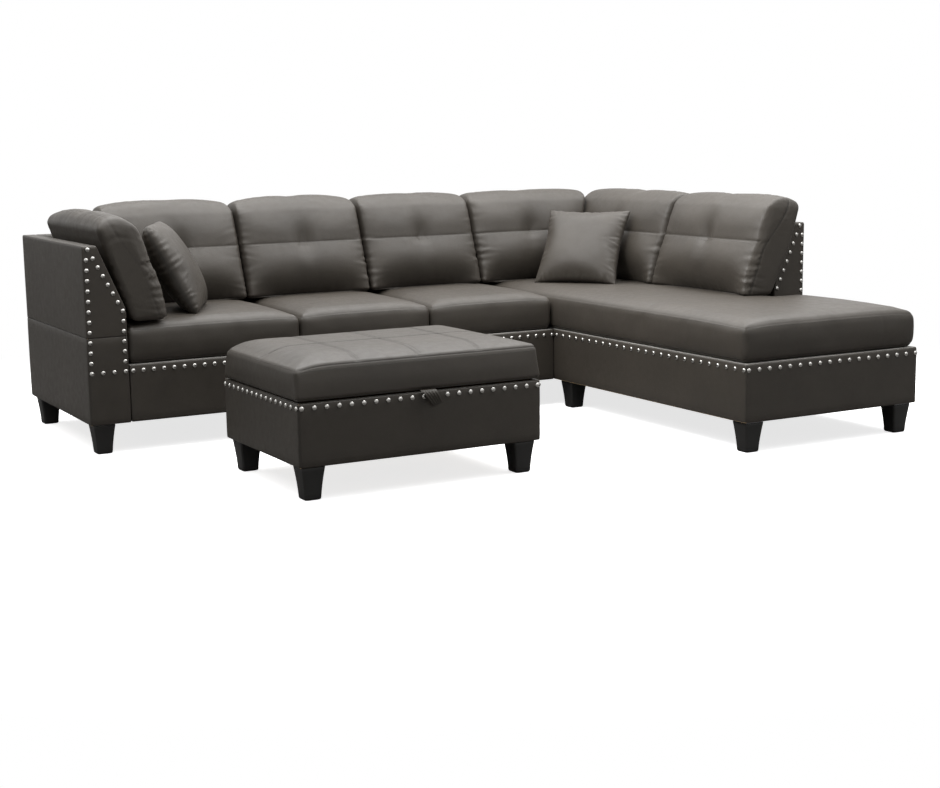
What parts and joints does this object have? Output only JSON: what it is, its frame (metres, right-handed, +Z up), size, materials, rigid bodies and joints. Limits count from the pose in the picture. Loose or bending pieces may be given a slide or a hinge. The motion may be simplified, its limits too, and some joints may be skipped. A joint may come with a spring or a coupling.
{
  "type": "sectional sofa",
  "caption": "L-shaped leather-look sectional with a left arm, a right chaise, loose back cushions, throw pillows, nail-head trim and a flip-top storage ottoman.",
  "frame": {"origin": "on the floor, at the middle of the sectional's outer box in plan", "axes": "+X toward the chaise side, seen from the front; +Y to the rear; +Z up"},
  "size_m": [2.63, 2.01, 0.8377],
  "materials": {
    "body_leather": "semi-matt grained",
    "cushion_leather": "semi-matt grained",
    "timber": "rough sawn",
    "felt": "matt",
    "dust_cloth": "matt",
    "black_wood": "satin",
    "steel": "satin",
    "nail_chrome": "polished",
    "foam": "matt",
    "fibre": "matt"
  },
  "bodies": {
    "sofa_section": {"sofa_base_cover": "body_leather", "sofa_base_frame": "timber", "sofa_springs": "steel", "sofa_seat_deck": "felt", "sofa_dust_cover": "dust_cloth", "sofa_legs": "black_wood", "sofa_leg_plates": "steel", "arm_lower_cover": "body_leather", "arm_upper_cover": "body_leather", "arm_frame": "timber", "sofa_back_cover": "body_leather", "sofa_back_frame": "timber", "sofa_nails": "nail_chrome", "connector_jaws": "steel", "seat_cushion_1": "cushion_leather", "seat_cushion_2": "cushion_leather", "seat_cushion_3": "cushion_leather", "seat_foam_cores": "foam"},
    "chaise_section": {"chaise_base_cover": "body_leather", "chaise_base_frame": "timber", "chaise_springs": "steel", "chaise_seat_deck": "felt", "chaise_dust_cover": "dust_cloth", "chaise_legs": "black_wood", "chaise_leg_plates": "steel", "side_back_cover": "body_leather", "corner_back_cover": "body_leather", "chaise_back_frame": "timber", "chaise_nails": "nail_chrome", "connector_bars": "steel", "chaise_seat_cushion": "cushion_leather", "chaise_foam_cores": "foam"},
    "arm_cushion": {"arm_cushion": "cushion_leather", "arm_cushion_fill": "fibre"},
    "back_cushion_1": {"back_cushion_1": "cushion_leather", "back_cushion_1_fill": "fibre"},
    "back_cushion_2": {"back_cushion_2": "cushion_leather", "back_cushion_2_fill": "fibre"},
    "back_cushion_3": {"back_cushion_3": "cushion_leather", "back_cushion_3_fill": "fibre"},
    "back_cushion_4": {"back_cushion_4": "cushion_leather", "back_cushion_4_fill": "fibre"},
    "side_cushion_1": {"side_cushion_1": "cushion_leather", "side_cushion_1_fill": "fibre"},
    "side_cushion_2": {"side_cushion_2": "cushion_leather", "side_cushion_2_fill": "fibre"},
    "arm_pillow": {"arm_pillow": "cushion_leather"},
    "corner_pillow": {"corner_pillow": "cushion_leather"},
    "ottoman": {"ottoman_long_walls": "timber", "ottoman_end_walls": "timber", "ottoman_floor": "timber", "ottoman_cover": "body_leather", "ottoman_legs": "black_wood", "ottoman_leg_plates": "steel", "ottoman_nails": "nail_chrome", "ottoman_hinges": "steel"},
    "ottoman_lid": {"lid_board": "timber", "lid_cushion": "cushion_leather", "lid_hinges": "steel"},
    "pull_tab": {"pull_tab": "body_leather"}
  },
  "joints": [
    {"name": "chaise_release", "type": "slide", "parent": "sofa_section", "child": "chaise_section", "axis": [1, 0, 0], "range_m": [0, 0.4]},
    {"name": "arm_cushion_lift", "type": "slide", "parent": "sofa_section", "child": "arm_cushion", "axis": [-0.3134, 0, 0.9496], "range_m": [0, 0.45]},
    {"name": "back_cushion_1_lift", "type": "slide", "parent": "sofa_section", "child": "back_cushion_1", "axis": [0, 0.3134, 0.9496], "range_m": [0, 0.45]},
    {"name": "back_cushion_2_lift", "type": "slide", "parent": "sofa_section", "child": "back_cushion_2", "axis": [0, 0.3134, 0.9496], "range_m": [0, 0.45]},
    {"name": "back_cushion_3_lift", "type": "slide", "parent": "sofa_section", "child": "back_cushion_3", "axis": [0, 0.3134, 0.9496], "range_m": [0, 0.45]},
    {"name": "back_cushion_4_lift", "type": "slide", "parent": "chaise_section", "child": "back_cushion_4", "axis": [0, 0.3134, 0.9496], "range_m": [0, 0.45]},
    {"name": "side_cushion_1_lift", "type": "slide", "parent": "chaise_section", "child": "side_cushion_1", "axis": [0.3134, 0, 0.9496], "range_m": [0, 0.45]},
    {"name": "side_cushion_2_lift", "type": "slide", "parent": "chaise_section", "child": "side_cushion_2", "axis": [0.3134, 0, 0.9496], "range_m": [0, 0.45]},
    {"name": "arm_pillow_lift", "type": "slide", "parent": "sofa_section", "child": "arm_pillow", "axis": [0, 0, 1], "range_m": [0, 0.45]},
    {"name": "corner_pillow_lift", "type": "slide", "parent": "chaise_section", "child": "corner_pillow", "axis": [0, 0, 1], "range_m": [0, 0.45]},
    {"name": "ottoman_move", "type": "slide", "parent": "sofa_section", "child": "ottoman", "axis": [0, 1, 0], "range_m": [-0.4, 0.2]},
    {"name": "lid_hinge", "type": "hinge", "parent": "ottoman", "child": "ottoman_lid", "pos_m": [-0.577, -0.2434, 0.3015], "axis": [-1, 0, 0], "range_deg": [0, 95]},
    {"name": "tab_fold", "type": "hinge", "parent": "ottoman_lid", "child": "pull_tab", "pos_m": [-0.569, -0.8666, 0.312], "axis": [-1, 0, 0], "range_deg": [0, 80]}
  ]
}
